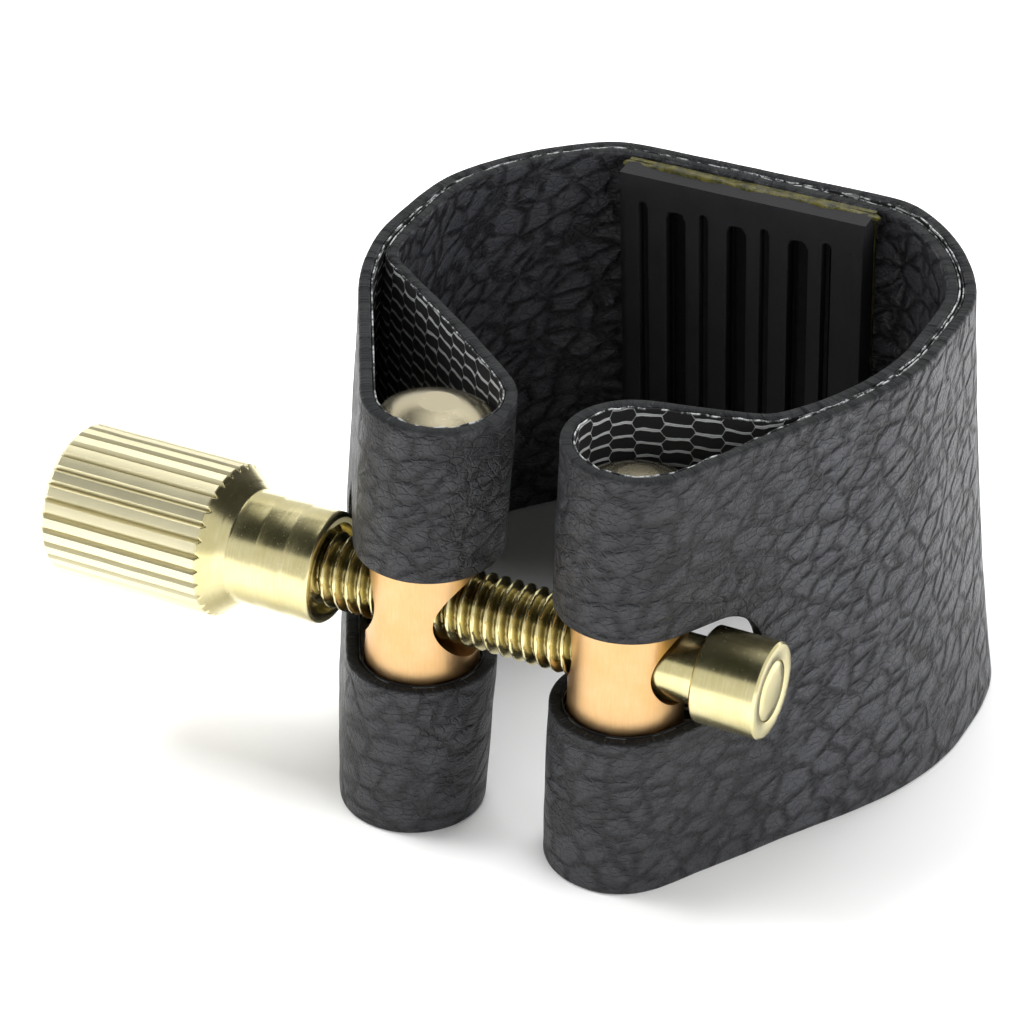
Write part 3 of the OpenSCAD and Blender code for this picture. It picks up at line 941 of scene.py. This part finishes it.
right_barrel = barrel("right_barrel_domed", BARREL_X, 0.0, RIGHT_BARREL_RISE, 0.0,
                      THREAD_R + RUNNING_PLAY)
left_barrel = barrel("left_barrel_domed", -BARREL_X, LEFT_SHIFT, LEFT_BARREL_RISE, LEFT_SWAY,
                     PLAIN_HOLE_R)

CONE_LEN = 1.2 * MM
COLLAR_R = 2.92 * MM
KNOB_TOTAL = knob_high[0] - knob_low[0]
RECESS_R = 2.35 * MM
RECESS_DEPTH = 0.72 * MM
BEVEL = 0.35 * MM
FLUTES = 30
FLUTE_DEPTH = 0.20 * MM
FLUTE_SHARE = 0.20


def fluted(angle, place, radius):
    """The lesser of the turned radius and the flutes' own floor, which sinks to a rounded V."""
    phase = (angle * FLUTES / TAU) % 1
    sink = np.clip(1 - np.abs(phase - 0.5) / FLUTE_SHARE, 0, 1)
    floor = KNOB_R - FLUTE_DEPTH * sink ** 0.9
    worn = value_noise(place + 0 * angle, angle * KNOB_R, 1.3 * MM, 41) * 0.012 * MM
    return np.minimum(radius, floor) + worn * (radius > 3.3 * MM)


def thumb_knob():
    """The knob's outline: dimpled face, bevel, fluted grip, cone, grooved collar, recess round the
    rod."""
    face = [(x * MM, radius * MM) for x, radius in (
        (0.25, 0.1), (0.05, 0.5), (0.0, 0.7), (0.0, 1.8), (0.015, 1.85), (0.0, 1.9), (0.0, 3.0))]
    bevel = [(x, KNOB_R - BEVEL + x) for x in np.linspace(0, BEVEL - 0.02 * MM, 8)]
    grip = [(x, KNOB_R) for x in np.linspace(BEVEL, KNOB_LEN, 26)]
    cone = [(KNOB_LEN + t * CONE_LEN, KNOB_R + (COLLAR_R - KNOB_R) * t)
            for t in np.linspace(0.02, 0.98, 30)]
    start = KNOB_LEN + CONE_LEN
    collar = [(start + x * MM, COLLAR_R - dip * MM) for x, dip in (
        (0.04, 0.0), (0.1, -0.012), (0.5, 0.0), (1.4, 0.0), (1.46, 0.012), (1.52, 0.0), (3.0, 0.0),
        (3.05, 0.01), (3.1, 0.0), (4.3, 0.0), (4.45, 0.0), (4.55, 0.03), (4.64, 0.1), (4.69, 0.19))]
    floor = KNOB_TOTAL - RECESS_DEPTH
    recess = [(KNOB_TOTAL, COLLAR_R - 0.25 * MM), (KNOB_TOTAL, RECESS_R + 0.06 * MM),
              (KNOB_TOTAL - 0.05 * MM, RECESS_R), (KNOB_TOTAL - 0.35 * MM, RECESS_R),
              (floor + 0.04 * MM, RECESS_R - 0.03 * MM), (floor, RECESS_R - 0.1 * MM),
              (floor, 0.3 * MM)]
    centre = (knob_low[0], SCREW_Y, SCREW_Z)
    return turned("fluted_thumb_knob", face + bevel + grip + cone + collar + recess, centre,
                  turned_brass, FLUTES * 14, radial=fluted, smooth_angle=32)


THREAD_START = -13.0 * MM
THREAD_END = 6.4 * MM
THREAD_DEPTH = 0.40 * MM
THREAD_RUNOUT = 0.8 * MM
CREST_SHARE = 0.14
FLANK_SHARE = 0.72
THREAD_STEP = 0.055 * MM
NECK_R = 1.72 * MM
TAIL_R = 1.1 * MM
TAIL_RECESS = 0.3 * MM


def threaded(angle, place, radius):
    """A right-hand thread: at each place the crest's phase advances by one pitch a turn. The flanks
    are a triangle wave cut off flat at crest and root, fading out at the thread's end."""
    phase = (place / THREAD_PITCH - angle / TAU) % 1
    wave = np.abs(phase - 0.5) * 2
    flank = np.clip((wave - CREST_SHARE) / FLANK_SHARE, 0, 1)
    runout = np.clip((THREAD_END - place) / THREAD_RUNOUT, 0, 1)
    return radius - THREAD_DEPTH * flank * runout


def screw_rod():
    """Threaded rod, plain neck, and a thin tail with its riveted head inside the cap."""
    thread = [(x, THREAD_R) for x in np.arange(THREAD_START, THREAD_END, THREAD_STEP)]
    neck = [(x, NECK_R) for x in (THREAD_END + 0.2 * MM, 8.0 * MM, cap_low[0] - 0.06 * MM)]
    tail = [(cap_low[0] - 0.05 * MM, TAIL_R), (cap_high[0] - TAIL_RECESS, TAIL_R)]
    head = [(cap_high[0] + x * MM, radius * MM) for x, radius in (
        (-0.3, 1.45), (-0.06, 1.5), (0.01, 1.4), (0.05, 0.9), (0.06, 0.1))]
    return turned("threaded_screw_rod", thread + neck + tail + head, (0, SCREW_Y, SCREW_Z),
                  turned_brass, 112, radial=threaded, smooth_angle=50)


def end_cap():
    """A short sleeve with a bevel at each end and a counterbore for the rod's head."""
    length, r = cap_high[0] - cap_low[0], (cap_high[1] - cap_low[1]) / 2
    bevel, bore, seat = 0.12 * MM, TAIL_R + 0.06 * MM, length - TAIL_RECESS
    body = [(x, r) for x in np.linspace(bevel, length - bevel, 14)]
    inner_end = [(0.0, bore), (0.0, r - bevel - 0.05 * MM), (0.01 * MM, r - bevel)]
    outer_end = [(length - 0.01 * MM, r - bevel), (length, r - bevel - 0.06 * MM),
                 (length, 1.62 * MM), (length - 0.03 * MM, 1.56 * MM), (seat, 1.55 * MM),
                 (seat, bore)]
    profile = inner_end + body + outer_end
    return turned("screw_end_cap", profile, (cap_low[0], SCREW_Y, SCREW_Z), turned_brass, 128,
                  closed=True, smooth_angle=32)


knob, rod, cap = thumb_knob(), screw_rod(), end_cap()
for made, body, node, slot in (
        (right_barrel, "ring", "right_barrel", "barrel_brass"),
        (left_barrel, "left_barrel", "left_barrel", "barrel_brass"),
        (knob, "screw", "thumb_knob", "screw_brass"),
        (rod, "screw", "threaded_rod", "screw_brass"),
        (cap, "end_cap", "end_cap", "screw_brass")):
    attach(made, body)
    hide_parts(node)


# ---- Studio ------------------------------------------------------
MIDDLE = (0, -0.005, 0.011)
FLOOR_SIDE = 6
CARD_SIDE = 0.46


def panel(name, centre, towards, side, finish):
    """A flat square panel facing a point."""
    centre, towards = Vector(centre), Vector(towards)
    mesh = bpy.data.meshes.new(name)
    turn = (towards - centre).to_track_quat("Z", "Y")
    corners = [centre + turn @ Vector((x * side / 2, y * side / 2, 0))
               for x, y in ((-1, -1), (1, -1), (1, 1), (-1, 1))]
    mesh.from_pydata([tuple(c) for c in corners], [], [(0, 1, 2, 3)])
    mesh.materials.append(finish)
    made = bpy.data.objects.new(name, mesh)
    bpy.context.scene.collection.objects.link(made)
    return made


def softbox(name, place, width, height, power):
    """A rectangular area light aimed at the middle of the ring."""
    light = bpy.data.lights.new(name, "AREA")
    light.shape = "RECTANGLE"
    light.size, light.size_y = width, height
    light.energy = power
    made = bpy.data.objects.new(name, light)
    made.location = place
    made.rotation_euler = (Vector(MIDDLE) - Vector(place)).to_track_quat("-Z", "Y").to_euler()
    bpy.context.scene.collection.objects.link(made)
    return made


floor_white = Finish("studio_floor", Base_Color=(0.92, 0.92, 0.92, 1), Roughness=0.9,
                     Specular_IOR_Level=0.0).material
card_black = Finish("studio_card", Base_Color=(0.002, 0.004, 0.002, 1), Roughness=1.0).material
floor = panel("studio_floor_plane", (0, 0, -0.02 * MM), (0, 0, 1), FLOOR_SIDE, floor_white)

# A black card overhead, which shows in the metal and dims the inside of the ring.
ceiling = panel("ceiling_card", (0, -0.02, 0.24), MIDDLE, CARD_SIDE, card_black)
ceiling.visible_camera = False
ceiling.visible_shadow = False

# The floor has a light of its own. Of the others, only the back one shows in the brass.
floor_only = bpy.data.collections.new("floor_only")
floor_only.objects.link(floor)
floor_light = softbox("floor_softbox", (-0.33, 0.03, 0.56), 0.25, 0.25, 3.4)
floor_light.visible_glossy = False
floor_light.light_linking.receiver_collection = floor_only
for name, place, power in (("left_softbox", (-0.55, -0.12, 0.24), 2.0),
                           ("right_softbox", (0.55, -0.02, 0.24), 2.6),
                           ("front_softbox", (0.10, -0.62, 0.20), 0.9)):
    softbox(name, place, 0.5, 0.3, power).visible_glossy = False
softbox("back_softbox", (-0.06, 0.30, 0.62), 0.4, 0.3, 3.6)

world = bpy.data.worlds.new("studio")
bpy.context.scene.world = world
world.use_nodes = True
background = world.node_tree.nodes["Background"]
background.inputs["Color"].default_value = (1, 1, 1, 1)
background.inputs["Strength"].default_value = 0.82
bpy.context.scene.view_settings.view_transform = "Standard"

# The camera, from its aim, its two angles and its distance.
AIM = Vector((-0.81, -15.3, 17.85)) * MM
AZIMUTH = math.radians(26.23)
ELEVATION = math.radians(32.86)
DISTANCE = 170 * MM
camera = bpy.data.cameras.new("camera")
camera.lens, camera.sensor_width = 123.5, 36
camera.clip_start, camera.clip_end = 0.005, 20
viewer = bpy.data.objects.new("camera", camera)
sight = Vector((math.sin(AZIMUTH) * math.cos(ELEVATION), -math.cos(AZIMUTH) * math.cos(ELEVATION),
                math.sin(ELEVATION)))
viewer.location = AIM + DISTANCE * sight
viewer.rotation_euler = (AIM - viewer.location).to_track_quat("-Z", "Y").to_euler()
bpy.context.scene.collection.objects.link(viewer)
bpy.context.scene.camera = viewer
